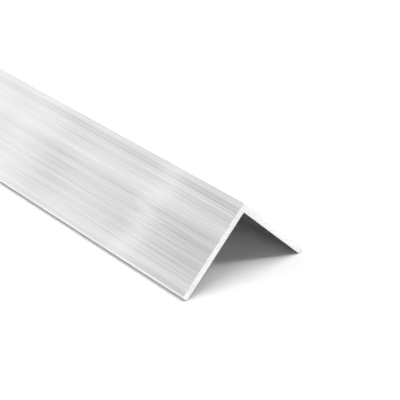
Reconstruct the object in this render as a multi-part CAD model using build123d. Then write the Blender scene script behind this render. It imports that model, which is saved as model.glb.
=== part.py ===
"""Equal-leg metal angle section.

One length of extruded bar with an L-shaped section: two flat legs of the same
width and thickness, square to each other, sawn square at both ends. It lies
like a roof, with its heel up and both toes on the ground.

Frame: millimetres. +X runs along the bar and +Z is up. The origin is the middle
of the bar's footprint, on the level that the two toes rest on.
"""
import os
from math import sqrt

from build123d import *

# Driving dimensions
leg_width = 30.0  # outside width of each leg, from the heel to the toe
wall = 2.0  # thickness of both legs
bar_length = 1000.0  # over the two sawn ends
heel_radius = 0.4  # outside corner, where the legs meet
root_radius = 0.5  # inside corner, between the legs
toe_radius = 0.3  # both edges of each leg's free end
end_chamfer = 0.1  # edge broken with a file, all round each sawn end

# Lying like a roof, the bar touches the ground with the rounded inside edges of
# its toes, and the sharp corner that its heel is rounded from is this far up.
heel_height = (leg_width + wall) / sqrt(2) - toe_radius * (sqrt(2) - 1)


def corners_from_heel(profile):
    """The profile's corners in order: the heel, the root and then the toes' edges."""
    return profile.vertices().sort_by_distance((0, 0))


def angle_profile():
    """The L-shaped section, with its heel at (0, 0) and its legs along +X and +Y."""
    from_corner = (Align.MIN, Align.MIN)
    outside = Rectangle(leg_width, leg_width, align=from_corner)
    hollow = Pos(wall, wall) * Rectangle(leg_width, leg_width, align=from_corner)
    profile = outside - hollow
    profile = fillet(corners_from_heel(profile)[2:], toe_radius)
    profile = fillet(corners_from_heel(profile)[1], root_radius)
    return fillet(corners_from_heel(profile)[0], heel_radius)


def angle_section():
    """The bar, lying like a roof along X, with its sawn ends' edges broken."""
    lying = Plane.YZ * Pos(0, heel_height) * Rot(0, 0, -135)
    bar = extrude(lying * angle_profile(), bar_length / 2, both=True)
    sawn_ends = bar.faces().filter_by(Axis.X)
    return chamfer(sawn_ends.edges(), end_chamfer)


os.makedirs("parts", exist_ok=True)
export_step(angle_section(), "parts/angle_section.step")
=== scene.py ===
from math import cos, pi, radians, sin, sqrt

import bmesh
import bpy
from mathutils import Matrix, Vector


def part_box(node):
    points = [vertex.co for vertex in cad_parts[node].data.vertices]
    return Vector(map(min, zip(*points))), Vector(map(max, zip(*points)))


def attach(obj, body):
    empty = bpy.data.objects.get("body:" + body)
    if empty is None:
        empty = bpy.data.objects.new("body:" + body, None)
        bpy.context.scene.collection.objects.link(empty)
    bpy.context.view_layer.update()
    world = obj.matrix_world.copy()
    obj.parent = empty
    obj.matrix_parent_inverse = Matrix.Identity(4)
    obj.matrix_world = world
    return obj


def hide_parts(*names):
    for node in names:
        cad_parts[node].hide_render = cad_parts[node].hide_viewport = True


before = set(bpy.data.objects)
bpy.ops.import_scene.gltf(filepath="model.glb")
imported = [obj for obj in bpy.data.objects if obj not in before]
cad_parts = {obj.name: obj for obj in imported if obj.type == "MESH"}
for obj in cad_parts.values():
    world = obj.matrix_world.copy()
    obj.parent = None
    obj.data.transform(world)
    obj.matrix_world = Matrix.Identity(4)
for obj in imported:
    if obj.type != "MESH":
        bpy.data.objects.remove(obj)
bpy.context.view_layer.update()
scene = bpy.context.scene

# ---------------------------------------------------------------------------
# The bar is one length of aluminium angle, pressed hot through a die, so its section
# is the same all along. It is shaped with its heel along the X axis and its legs
# along Y and Z, and is turned over to lie like a roof once its ends are sawn.
leg_width = 0.030
wall = 0.002
heel_radius = 0.0004
root_radius = 0.0005
toe_radius = 0.0003
lowest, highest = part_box("angle_section")
bar_length = highest.x - lowest.x
same_place = 1e-6
facing = 0.99


def select(piece, kind, wanted):
    """Selects the edges or the faces of a piece, in edit mode, that wanted() picks."""
    bpy.ops.mesh.select_mode(type=kind)
    bpy.ops.mesh.select_all(action="DESELECT")
    shape = bmesh.from_edit_mesh(piece.data)
    choices = shape.edges if kind == "EDGE" else shape.faces
    for choice in choices:
        if wanted(choice):
            choice.select_set(True)
    bmesh.update_edit_mesh(piece.data)


def edges_along(y, z):
    """Picks the edges that run along the bar through (y, z) of its section."""
    return lambda edge: all(
        abs(end.co.y - y) < same_place and abs(end.co.z - z) < same_place for end in edge.verts
    )


bpy.ops.object.select_all(action="DESELECT")
bpy.ops.mesh.primitive_cube_add(size=wall, location=(0, wall / 2, wall / 2))
bar = bpy.context.object
bar.name = "mill_finish_angle"
bar.data.uv_layers.active.name = "OFBake"
bpy.ops.object.mode_set(mode="EDIT")
bpy.ops.transform.resize(value=(bar_length / wall, 1, 1))
bpy.ops.object.mode_set(mode="OBJECT")
bpy.ops.object.transform_apply(location=True, rotation=True, scale=True)
bpy.ops.object.mode_set(mode="EDIT")
select(bar, "FACE", lambda face: face.normal.y > facing)
bpy.ops.mesh.extrude_region_move(TRANSFORM_OT_translate={"value": (0, leg_width - wall, 0)})
select(bar, "FACE", lambda face: face.normal.z > facing and face.calc_center_median().y < wall)
bpy.ops.mesh.extrude_region_move(TRANSFORM_OT_translate={"value": (0, 0, leg_width - wall)})
bpy.ops.mesh.select_all(action="SELECT")
bpy.ops.mesh.dissolve_limited(angle_limit=radians(1))
rounded_corners = {
    (0, 0): heel_radius,
    (wall, wall): root_radius,
    (leg_width, 0): toe_radius,
    (leg_width, wall): toe_radius,
    (0, leg_width): toe_radius,
    (wall, leg_width): toe_radius,
}
for (y, z), radius in rounded_corners.items():
    select(bar, "EDGE", edges_along(y, z))
    bpy.ops.mesh.bevel(offset=radius, segments=6, affect="EDGES", clamp_overlap=False)

# Specks built up on the die's edge leave fine grooves along the bar. Each is a shallow
# V in the inside or the outside of a leg, at its distance from the heel.
groove_width = 0.0005
groove_depth = 0.000025
grooves = (
    {"across": 1, "inwards": 2, "outside": (0.0021, 0.0033, 0.0130), "inside": (0.0094, 0.0212)},
    {"across": 2, "inwards": 1, "outside": (0.0047, 0.0098, 0.0246), "inside": (0.0071, 0.0185)},
)


def cut_groove(across, inwards, face_place, outward, place):
    """Cuts a V along a face. Across and inwards are axes: 1 is Y and 2 is Z."""

    def on_the_face(face):
        off_face = abs(face.calc_center_median()[inwards] - face_place)
        return face.normal[inwards] * outward > facing and off_face < 2 * groove_depth

    direction = [0, 0, 0]
    direction[across] = 1
    for line in (place - groove_width / 2, place, place + groove_width / 2):
        select(bar, "FACE", on_the_face)
        bpy.ops.mesh.bisect(plane_co=line * Vector(direction), plane_no=direction)
    bottom = (place, face_place) if across == 1 else (face_place, place)
    select(bar, "EDGE", edges_along(*bottom))
    sink = [0, 0, 0]
    sink[inwards] = -outward * groove_depth
    bpy.ops.transform.translate(value=sink)


for leg in grooves:
    for place in leg["outside"]:
        cut_groove(leg["across"], leg["inwards"], 0, -1, place)
    for place in leg["inside"]:
        cut_groove(leg["across"], leg["inwards"], wall, 1, place)

# Its map is the bar unrolled: a strip as long as the bar and as high as the way round
# its section, with the two ends above it.
strip_height = 0.78
end_size = 0.19
end_corners = {1: Vector((0.1, 0.8)), -1: Vector((0.6, 0.8))}
shape = bmesh.from_edit_mesh(bar.data)
unrolled = shape.loops.layers.uv["OFBake"]
end_face = next(face for face in shape.faces if face.normal.x > facing)
places_round = {}
way_round = 0
for loop in end_face.loops:
    places_round[loop.vert.co.yz.to_tuple(6)] = way_round
    way_round += loop.edge.calc_length()
for face in shape.faces:
    if abs(face.normal.x) > facing:
        for loop in face.loops:
            spot = loop.vert.co.yz / leg_width * end_size
            loop[unrolled].uv = end_corners[round(face.normal.x)] + spot
        continue
    places = [places_round[loop.vert.co.yz.to_tuple(6)] for loop in face.loops]
    closes_the_strip = max(places) - min(places) > way_round / 2
    for loop, place in zip(face.loops, places):
        if closes_the_strip and place == 0:
            place = way_round
        along = loop.vert.co.x / bar_length + 0.5
        loop[unrolled].uv = (along, place / way_round * strip_height)
bmesh.update_edit_mesh(bar.data)

# Both ends are sawn square and their edges are broken with a file. The blade leaves
# low ripples, which slant across the cut.
end_chamfer = 0.0001
ripple_spacing = 0.0007
ripple_depth = 0.000012
ripple_slant = radians(28)
for end in (1, -1):
    end_x = end * bar_length / 2
    select(bar, "EDGE", lambda edge: all(abs(tip.co.x - end_x) < same_place for tip in edge.verts))
    bpy.ops.mesh.bevel(offset=end_chamfer, segments=2, affect="EDGES", clamp_overlap=False)
    ripple_direction = Vector((0, cos(ripple_slant), sin(ripple_slant)))
    reach = leg_width * (cos(ripple_slant) + sin(ripple_slant))
    for ripple in range(1, int(reach / ripple_spacing)):
        select(bar, "FACE", lambda face: face.normal.x * end > facing)
        cut_at = Vector((end_x, 0, 0)) + ripple_direction * ripple * ripple_spacing
        bpy.ops.mesh.bisect(plane_co=cut_at, plane_no=ripple_direction)
        if ripple % 2:
            bpy.ops.transform.translate(value=(-end * ripple_depth, 0, 0))
bpy.ops.object.mode_set(mode="OBJECT")

# The bar is turned over about its heel and raised until both toes touch the ground.
lying_turn = radians(-135)
heel_height = (leg_width + wall) / sqrt(2) - toe_radius * (sqrt(2) - 1)
sharpest_smooth_edge = radians(30)
bpy.ops.transform.rotate(value=-lying_turn, orient_axis="X", center_override=(0, 0, 0))
bpy.ops.transform.translate(value=(0, 0, heel_height))
bpy.ops.object.transform_apply(location=True, rotation=True, scale=True)
bpy.ops.object.shade_smooth_by_angle(angle=sharpest_smooth_edge)
weighted = bar.modifiers.new("flat_faces", "WEIGHTED_NORMAL")
weighted.keep_sharp = True
bpy.ops.object.modifier_apply(modifier=weighted.name)

# The mill finish is the bare metal as the die leaves it: long fine lines and streaks at
# set distances from the heel. Painted reflections of the studio lie as soft bands square
# across the bar, with soft lighter and darker patches, and painted highlights run along
# the heel and the toes. The two toe faces have a plain darker tone, which is painted shade.
aluminium_colour = (0.83, 0.83, 0.83)
broad_line_strength = 0.30
close_line_strength = 0.55
close_line_relief = 0.3
close_line_depth = 0.00002
band_raggedness = 0.025
dark_band = -0.10
bright_band = 0.13
contrast_in_dark_bands = 1.2
contrast_in_bright_bands = 0.5
toe_shade_tone = 0.78
toe_shade_fade = 0.0001
outside_roughness = 0.28
inside_roughness_change = -0.16
broad_line_roughness_change = -0.25
outside_down_to = 0.4 * wall
inside_from = 0.9 * wall


def add_node(tree, kind, feeds=None, **settings):
    """Adds a shader node. Each input in feeds gets a value or another node's output."""
    node = tree.nodes.new("ShaderNode" + kind)
    for name, setting in settings.items():
        setattr(node, name, setting)
    for socket, feed in (feeds or {}).items():
        if isinstance(feed, bpy.types.NodeSocket):
            tree.links.new(feed, node.inputs[socket])
        else:
            node.inputs[socket].default_value = feed
    return node


def math_of(tree, operation, *values):
    """Adds a Math node. Each value is a number or another node's output."""
    return add_node(tree, "Math", dict(enumerate(values)), operation=operation).outputs[0]


def sum_of(tree, *values):
    total = values[0]
    for value in values[1:]:
        total = math_of(tree, "ADD", total, value)
    return total


def new_group(name, inputs, outputs):
    """Makes a node group. Gives its tree, what it is given and where its result goes."""
    group = bpy.data.node_groups.new(name, "ShaderNodeTree")
    for socket, kind in inputs.items():
        group.interface.new_socket(socket, in_out="INPUT", socket_type="NodeSocket" + kind)
    for socket, kind in outputs.items():
        group.interface.new_socket(socket, in_out="OUTPUT", socket_type="NodeSocket" + kind)
    given = group.nodes.new("NodeGroupInput").outputs
    result = group.nodes.new("NodeGroupOutput").inputs
    return group, given, result


# A point's place before the bar was turned over, and how far it is out along the legs,
# which counts up from the heel on one leg and down on the other.
place_in_the_bar, given, result = new_group(
    "place_in_the_bar",
    {"Object": "Vector"},
    {
        "Place": "Vector",
        "From Near End": "Float",
        "Out Along Legs": "Float",
        "Below Skin": "Float",
        "Out To The Toe": "Float",
    },
)
unturned = add_node(
    place_in_the_bar,
    "Mapping",
    {
        "Vector": given["Object"],
        "Location": (0, 0, heel_height),
        "Rotation": (lying_turn, 0, 0),
    },
    vector_type="TEXTURE",
).outputs[0]
parts = add_node(place_in_the_bar, "SeparateXYZ", {0: unturned}).outputs
measures = {
    "Place": unturned,
    "From Near End": math_of(place_in_the_bar, "SUBTRACT", bar_length / 2, parts["X"]),
    "Out Along Legs": math_of(place_in_the_bar, "SUBTRACT", parts["Y"], parts["Z"]),
    "Below Skin": math_of(place_in_the_bar, "MINIMUM", parts["Y"], parts["Z"]),
    "Out To The Toe": math_of(place_in_the_bar, "MAXIMUM", parts["Y"], parts["Z"]),
}
for name, measure in measures.items():
    place_in_the_bar.links.new(measure, result[name])

# Parallel lines along a place's X, as a value about zero: long in X, close in Y and Z.
fine_lines, given, result = new_group(
    "fine_lines",
    {"Place": "Vector", "Length": "Float", "Spacing": "Float"},
    {"Lines": "Float"},
)
line_size = add_node(
    fine_lines, "CombineXYZ", {"X": given["Length"], "Y": given["Spacing"], "Z": given["Spacing"]}
).outputs[0]
in_lines = add_node(
    fine_lines, "VectorMath", {0: given["Place"], 1: line_size}, operation="DIVIDE"
).outputs[0]
line_noise = add_node(
    fine_lines, "TexNoise", {"Vector": in_lines, "Scale": 1, "Detail": 3, "Roughness": 0.6}
).outputs[0]
middle_of_noise = 0.5
about_zero = math_of(fine_lines, "SUBTRACT", line_noise, middle_of_noise)
fine_lines.links.new(about_zero, result["Lines"])

# One soft streak: a change of tone that fades to nothing at half its width.
soft_streak, given, result = new_group(
    "soft_streak",
    {"Distance": "Float", "Middle": "Float", "Half Width": "Float", "Change": "Float"},
    {"Tone": "Float"},
)
off_middle = math_of(soft_streak, "SUBTRACT", given["Distance"], given["Middle"])
fading = add_node(
    soft_streak,
    "MapRange",
    {
        "Value": math_of(soft_streak, "ABSOLUTE", off_middle),
        "From Max": given["Half Width"],
        "To Min": given["Change"],
        "To Max": 0,
    },
    interpolation_type="SMOOTHSTEP",
).outputs[0]
soft_streak.links.new(fading, result["Tone"])


def add_place(tree):
    """Adds the place in the bar of each point of its surface."""
    on_the_bar = add_node(tree, "TexCoord").outputs["Object"]
    return add_node(tree, "Group", {"Object": on_the_bar}, node_tree=place_in_the_bar).outputs


def add_lines(tree, place, length, spacing):
    """Adds the fine lines, of about this length and this far apart, in metres."""
    sizes = {"Place": place, "Length": length, "Spacing": spacing}
    return add_node(tree, "Group", sizes, node_tree=fine_lines).outputs["Lines"]


def add_streak(tree, distance, middle, half_width, change):
    sizes = {"Distance": distance, "Middle": middle, "Half Width": half_width, "Change": change}
    return add_node(tree, "Group", sizes, node_tree=soft_streak).outputs["Tone"]


def add_streaks(tree, distance, streaks):
    """Adds up soft streaks, each a distance, half its width and its change of tone."""
    return sum_of(tree, *(add_streak(tree, distance, *streak) for streak in streaks))


def add_patches(tree, along, across, patches):
    """Adds up soft patches: a place and half size along, the same across, and a change."""
    tones = []
    for middle, half_length, middle_across, half_width, change in patches:
        length = add_streak(tree, along, middle, half_length, change)
        width = add_streak(tree, across, middle_across, half_width, 1)
        tones.append(math_of(tree, "MULTIPLY", length, width))
    return sum_of(tree, *tones)


# The streaks' distances are out along the legs, and the painted reflection bands' are from the
# near end.
# The bright streak next to the heel and the two at the toes, at ±0.0297, are painted highlights
# along those edges.
die_streaks = (
    (0.0005, 0.0010, 0.06),
    (0.0015, 0.0004, 0.05),
    (0.0021, 0.0003, -0.17),
    (0.0027, 0.0009, -0.09),
    (0.0033, 0.0003, -0.19),
    (0.0045, 0.0006, 0.05),
    (0.0062, 0.0006, -0.10),
    (0.0070, 0.0005, 0.04),
    (0.0086, 0.0004, 0.03),
    (0.0093, 0.0004, -0.05),
    (0.0095, 0.0023, 0.10),
    (0.0125, 0.0012, -0.06),
    (0.0129, 0.0004, -0.17),
    (0.0157, 0.0008, -0.05),
    (0.0165, 0.0030, -0.06),
    (0.0178, 0.0004, 0.05),
    (0.0185, 0.0006, -0.06),
    (0.0195, 0.0004, 0.08),
    (0.0201, 0.0004, -0.07),
    (0.0214, 0.0010, -0.06),
    (0.0225, 0.0005, 0.04),
    (0.0235, 0.0005, -0.05),
    (0.0259, 0.0004, -0.05),
    (0.0270, 0.0020, 0.09),
    (0.0297, 0.0007, 0.16),
    (-0.0012, 0.0009, 0.05),
    (-0.0047, 0.0006, -0.12),
    (-0.0055, 0.0014, 0.06),
    (-0.0098, 0.0005, -0.10),
    (-0.0121, 0.0025, -0.06),
    (-0.0163, 0.0007, 0.08),
    (-0.0184, 0.0004, -0.09),
    (-0.0212, 0.0018, 0.05),
    (-0.0246, 0.0006, -0.12),
    (-0.0251, 0.0016, -0.05),
    (-0.0297, 0.0008, 0.16),
)
# Painted reflections: soft lighter and darker bands square across the bar, where the studio is
# mirrored.
painted_reflection_bands = (
    (0.005, 0.028, -0.115),
    (0.0285, 0.0080, 0.080),
    (0.040, 0.014, -0.020),
    (0.058, 0.012, 0.020),
    (0.072, 0.010, -0.030),
    (0.083, 0.008, 0.022),
    (0.092, 0.014, 0.085),
    (0.118, 0.038, 0.130),
    (0.162, 0.025, -0.060),
    (0.214, 0.010, 0.070),
    (0.252, 0.030, -0.070),
    (0.318, 0.060, 0.090),
    (0.395, 0.018, -0.080),
    (0.442, 0.009, 0.060),
    (0.516, 0.055, -0.060),
    (0.588, 0.020, 0.080),
    (0.660, 0.045, 0.050),
    (0.731, 0.014, -0.090),
    (0.789, 0.012, 0.070),
    (0.858, 0.050, -0.050),
    (0.927, 0.016, 0.080),
    (0.985, 0.030, -0.110),
)
# Soft lighter and darker patches of tone. The one at the toe by the near end dims the painted toe
# highlight there.
soft_tone_patches = (
    (0.007, 0.026, 0.0200, 0.0120, -0.030),
    (0.018, 0.034, 0.0216, 0.0028, -0.055),
    (0.002, 0.028, 0.0291, 0.0018, -0.080),
    (0.004, 0.014, 0.0020, 0.0030, 0.050),
    (0.002, 0.014, 0.0129, 0.0006, 0.060),
    (0.036, 0.008, 0.0220, 0.0130, -0.030),
    (0.025, 0.012, 0.0052, 0.0024, -0.040),
    (0.032, 0.012, 0.0075, 0.0060, 0.030),
    (0.076, 0.018, 0.0036, 0.0036, 0.060),
    (0.136, 0.050, -0.0200, 0.0090, -0.060),
    (0.290, 0.040, 0.0110, 0.0080, -0.050),
    (0.473, 0.060, -0.0120, 0.0100, 0.060),
    (0.612, 0.050, 0.0220, 0.0070, -0.060),
    (0.820, 0.070, -0.0220, 0.0080, -0.070),
    (0.884, 0.030, 0.0130, 0.0100, 0.050),
)
mill_finish = bpy.data.materials.new("mill_finish")
mill_finish.use_nodes = True
tree = mill_finish.node_tree
shader = tree.nodes["Principled BSDF"]
shader.inputs["Metallic"].default_value = 1
here = add_place(tree)

broad_lines = add_lines(tree, here["Place"], length=0.5, spacing=0.0011)
close_lines = add_lines(tree, here["Place"], length=0.05, spacing=0.0003)
ragged_lines = add_lines(tree, here["Place"], length=0.3, spacing=0.0018)
band_shift = math_of(tree, "MULTIPLY", ragged_lines, band_raggedness)
along_the_bands = sum_of(tree, here["From Near End"], band_shift)
bands = sum_of(
    tree,
    add_streaks(tree, along_the_bands, painted_reflection_bands),
    add_patches(tree, here["From Near End"], here["Out Along Legs"], soft_tone_patches),
)
lines = sum_of(
    tree,
    math_of(tree, "MULTIPLY", broad_lines, broad_line_strength),
    math_of(tree, "MULTIPLY", close_lines, close_line_strength),
    add_streaks(tree, here["Out Along Legs"], die_streaks),
)
# Painted light: the lines are fainter in the brighter painted reflection bands and plainer in the
# darker ones.
contrast = add_node(
    tree,
    "MapRange",
    {
        "Value": bands,
        "From Min": dark_band,
        "From Max": bright_band,
        "To Min": contrast_in_dark_bands,
        "To Max": contrast_in_bright_bands,
    },
).outputs[0]
leg_tone = sum_of(tree, math_of(tree, "MULTIPLY", lines, contrast), bands, 1)
# Painted shade: the toe faces, down in the crevice at the floor, get a plain darker tone.
toe_shade_mask = add_node(
    tree,
    "MapRange",
    {
        "Value": here["Out To The Toe"],
        "From Min": leg_width - toe_shade_fade,
        "From Max": leg_width,
    },
).outputs[0]
tone = add_node(
    tree, "Mix", {"Factor": toe_shade_mask, "A": leg_tone, "B": toe_shade_tone}
).outputs[0]
colour = add_node(tree, "VectorMath", {0: aluminium_colour, "Scale": tone}, operation="SCALE")
tree.links.new(colour.outputs[0], shader.inputs["Base Color"])

inside = add_node(
    tree,
    "MapRange",
    {"Value": here["Below Skin"], "From Min": outside_down_to, "From Max": inside_from},
).outputs[0]
roughness = sum_of(
    tree,
    math_of(tree, "MULTIPLY", broad_lines, broad_line_roughness_change),
    math_of(tree, "MULTIPLY", inside, inside_roughness_change),
    outside_roughness,
)
tree.links.new(roughness, shader.inputs["Roughness"])
relief = add_node(
    tree,
    "Bump",
    {"Height": close_lines, "Strength": close_line_relief, "Distance": close_line_depth},
)
tree.links.new(relief.outputs[0], shader.inputs["Normal"])

# The sawn ends are the same metal freshly cut, so they are brighter. The blade's teeth
# scratch fine arcs and short marks across them, and leave a few nicks. Painted shade
# darkens each end at the heel and along one leg, and painted light brightens the other leg.
fresh_colour = (0.88, 0.88, 0.88)
cut_roughness = 0.4
blade_radius = 0.175
tooth_line_strength = 0.45
tooth_line_relief = 0.5
tooth_line_depth = 0.00003
mark_strength = -0.22
faintest_mark = 0.04
plainest_mark = 0.18
# Painted shade and light on the sawn ends: darker at the heel and along one leg, lighter along the
# other.
end_painted_light_and_shade = (
    (0.0000, 0.0110, -0.045),
    (0.0070, 0.0110, -0.035),
    (0.0257, 0.0018, -0.035),
    (0.0290, 0.0018, 0.020),
    (-0.0170, 0.0170, 0.045),
    (-0.0255, 0.0130, 0.030),
)
saw_nicks = (
    (0.0038, 0.0024, 0.0012, 0.0006, -0.07),
    (0.0252, 0.0012, 0.0009, 0.0007, -0.11),
    (0.0120, 0.0010, 0.0012, 0.0009, -0.05),
    (-0.0052, 0.0010, 0.0009, 0.0009, -0.07),
    (-0.0081, 0.0006, 0.0010, 0.0011, -0.09),
    (-0.0182, 0.0030, 0.0016, 0.0004, -0.06),
    (-0.0240, 0.0020, 0.0006, 0.0004, -0.05),
)
saw_cut = bpy.data.materials.new("saw_cut")
saw_cut.use_nodes = True
tree = saw_cut.node_tree
shader = tree.nodes["Principled BSDF"]
shader.inputs["Metallic"].default_value = 1
shader.inputs["Roughness"].default_value = cut_roughness
here = add_place(tree)

# On the flat of the cut, a point is placed along the stroke and out from the blade's
# middle, so that lines along the stroke are arcs about that middle.
blade_middle = (0, blade_radius * cos(ripple_slant), blade_radius * sin(ripple_slant))
stroke = (0, -sin(ripple_slant), cos(ripple_slant))
on_the_flat = add_node(
    tree, "VectorMath", {0: here["Place"], 1: (0, 1, 1)}, operation="MULTIPLY"
).outputs[0]
from_blade = add_node(tree, "VectorMath", {0: on_the_flat, 1: blade_middle}, operation="DISTANCE")
along_stroke = add_node(tree, "VectorMath", {0: on_the_flat, 1: stroke}, operation="DOT_PRODUCT")
cut_place = add_node(
    tree, "CombineXYZ", {"X": along_stroke.outputs["Value"], "Y": from_blade.outputs["Value"]}
).outputs[0]
tooth_lines = add_lines(tree, cut_place, length=0.006, spacing=0.00025)
marks = add_node(
    tree,
    "MapRange",
    {
        "Value": add_lines(tree, cut_place, length=0.0011, spacing=0.00035),
        "From Min": faintest_mark,
        "From Max": plainest_mark,
    },
    interpolation_type="SMOOTHSTEP",
).outputs[0]
tone = sum_of(
    tree,
    math_of(tree, "MULTIPLY", tooth_lines, tooth_line_strength),
    math_of(tree, "MULTIPLY", marks, mark_strength),
    add_patches(tree, here["Out Along Legs"], here["Below Skin"], saw_nicks),
    add_streaks(tree, here["Out Along Legs"], end_painted_light_and_shade),
    1,
)
colour = add_node(tree, "VectorMath", {0: fresh_colour, "Scale": tone}, operation="SCALE")
tree.links.new(colour.outputs[0], shader.inputs["Base Color"])
relief = add_node(
    tree,
    "Bump",
    {"Height": tooth_lines, "Strength": tooth_line_relief, "Distance": tooth_line_depth},
)
tree.links.new(relief.outputs[0], shader.inputs["Normal"])

# The sawn faces and their filed edges take the saw cut, and all the rest the mill finish.
bar.data.materials.append(mill_finish)
bar.data.materials.append(saw_cut)
least_turned_to_the_end = 0.3
for face in bar.data.polygons:
    face.material_index = int(abs(face.normal.x) > least_turned_to_the_end)
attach(bar, "root")
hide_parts("angle_section")

# ---------------------------------------------------------------------------
# The floor is a plain white matt studio floor, which keeps the bar's shadow. Further
# off, it shows plain white to the camera and in the metal.
floor_width = 12
seen_white = 1.087
keeps_shadows_to = 0.7
plain_white_from = 1.3
bpy.ops.object.select_all(action="DESELECT")
bpy.ops.mesh.primitive_plane_add(size=floor_width)
floor = bpy.context.object
floor.name = "floor"
floor_white = bpy.data.materials.new("floor_white")
floor_white.use_nodes = True
tree = floor_white.node_tree
tree.nodes.clear()
light_path = add_node(tree, "LightPath").outputs
seen = math_of(tree, "MAXIMUM", light_path["Is Camera Ray"], light_path["Is Glossy Ray"])
white = add_node(tree, "MapRange", {"Value": seen, "To Min": 1, "To Max": seen_white}).outputs[0]
matt = add_node(tree, "BsdfDiffuse", {"Color": white}).outputs[0]
plain_white = add_node(tree, "Emission", {"Color": (1, 1, 1, 1), "Strength": 1}).outputs[0]
floor_place = add_node(tree, "TexCoord").outputs["Object"]
from_middle = add_node(tree, "VectorMath", {0: floor_place}, operation="LENGTH").outputs["Value"]
far_off = add_node(
    tree,
    "MapRange",
    {"Value": from_middle, "From Min": keeps_shadows_to, "From Max": plain_white_from},
).outputs[0]
seen_far_off = math_of(tree, "MULTIPLY", far_off, seen)
surface = add_node(tree, "MixShader", {0: seen_far_off, 1: matt, 2: plain_white}).outputs[0]
add_node(tree, "OutputMaterial", {"Surface": surface})
floor.data.materials.append(floor_white)

# ---------------------------------------------------------------------------
# The light is a broad soft lamp overhead, a smaller, brighter one beyond the near end
# and a tall one to the left, which light the floor. The metal mirrors the white room
# round about, which is a little brighter low down than overhead.
near_end = Vector((highest.x, 0, 0))


def add_lamp(name, place, back, width, height, brightness):
    """Adds a soft lamp at a place from the near end, with its back to a direction.

    Of two lamps of the same brightness, the larger gives more light.
    """
    bpy.ops.object.light_add(type="AREA", location=near_end + Vector(place))
    lamp = bpy.context.object
    lamp.name = name
    lamp.rotation_euler = Vector(back).to_track_quat("Z", "Y").to_euler()
    lamp.data.shape = "RECTANGLE"
    lamp.data.size = width
    lamp.data.size_y = height
    lamp.data.energy = brightness * pi * width * height
    lamp.visible_camera = False
    lamp.visible_glossy = False


add_lamp(
    "overhead_lamp",
    place=(0.82, 0.23, 6.0),
    back=(0, 0, 1),
    width=4.3,
    height=6.6,
    brightness=3.16,
)
add_lamp(
    "key_lamp",
    place=(3.38, 1.23, 6.0),
    back=(0, 0, 1),
    width=1.10,
    height=0.90,
    brightness=43.0,
)
add_lamp(
    "left_lamp",
    place=(-2.45, -2.45, 2.0),
    back=(-0.61, -0.61, 0.5),
    width=3.3,
    height=4.6,
    brightness=1.9,
)

mirrored_low_down = 0.945
mirrored_overhead = 0.71
low_down_to = 0.45
overhead_from = 0.9
light_on_the_floor = 0.06
studio = bpy.data.worlds.new("studio")
scene.world = studio
studio.use_nodes = True
tree = studio.node_tree
tree.nodes.clear()
towards = add_node(tree, "TexCoord").outputs["Generated"]
upwards = add_node(tree, "SeparateXYZ", {0: towards}).outputs["Z"]
mirrored_room = add_node(
    tree,
    "MapRange",
    {
        "Value": upwards,
        "From Min": low_down_to,
        "From Max": overhead_from,
        "To Min": mirrored_low_down,
        "To Max": mirrored_overhead,
    },
    interpolation_type="SMOOTHSTEP",
).outputs[0]
light_path = add_node(tree, "LightPath").outputs
not_off_the_floor = math_of(tree, "LESS_THAN", light_path["Diffuse Depth"], 0.5)
mirrored = math_of(tree, "MULTIPLY", light_path["Is Glossy Ray"], not_off_the_floor)
lit_or_mirrored = add_node(
    tree, "Mix", {"Factor": mirrored, "A": light_on_the_floor, "B": mirrored_room}
).outputs[0]
strength = add_node(
    tree, "Mix", {"Factor": light_path["Is Camera Ray"], "A": lit_or_mirrored, "B": 1}
).outputs[0]
room = add_node(tree, "Background", {"Color": (1, 1, 1, 1), "Strength": strength}).outputs[0]
add_node(tree, "OutputWorld", {"Surface": room})

# ---------------------------------------------------------------------------
# The camera looks down on the near end, from beyond it and to one side. It is placed by
# its distance, and by how far right of and below its axis that end comes.
azimuth = radians(52.24)
elevation = radians(27.48)
roll = radians(-1.23)
camera_distance = 0.44150
near_end_in_view = Vector((0.012073, -0.020762, 0))
turn = (
    Matrix.Rotation(azimuth, 3, "Z")
    @ Matrix.Rotation(pi / 2 - elevation, 3, "X")
    @ Matrix.Rotation(roll, 3, "Z")
)
bpy.ops.object.camera_add()
camera = bpy.context.object
camera.rotation_euler = turn.to_euler()
camera.location = near_end - turn @ near_end_in_view + turn @ Vector((0, 0, camera_distance))
camera.data.lens = 146.44
camera.data.clip_start = 0.05
camera.data.clip_end = 50
scene.camera = camera
scene.view_settings.view_transform = "Standard"
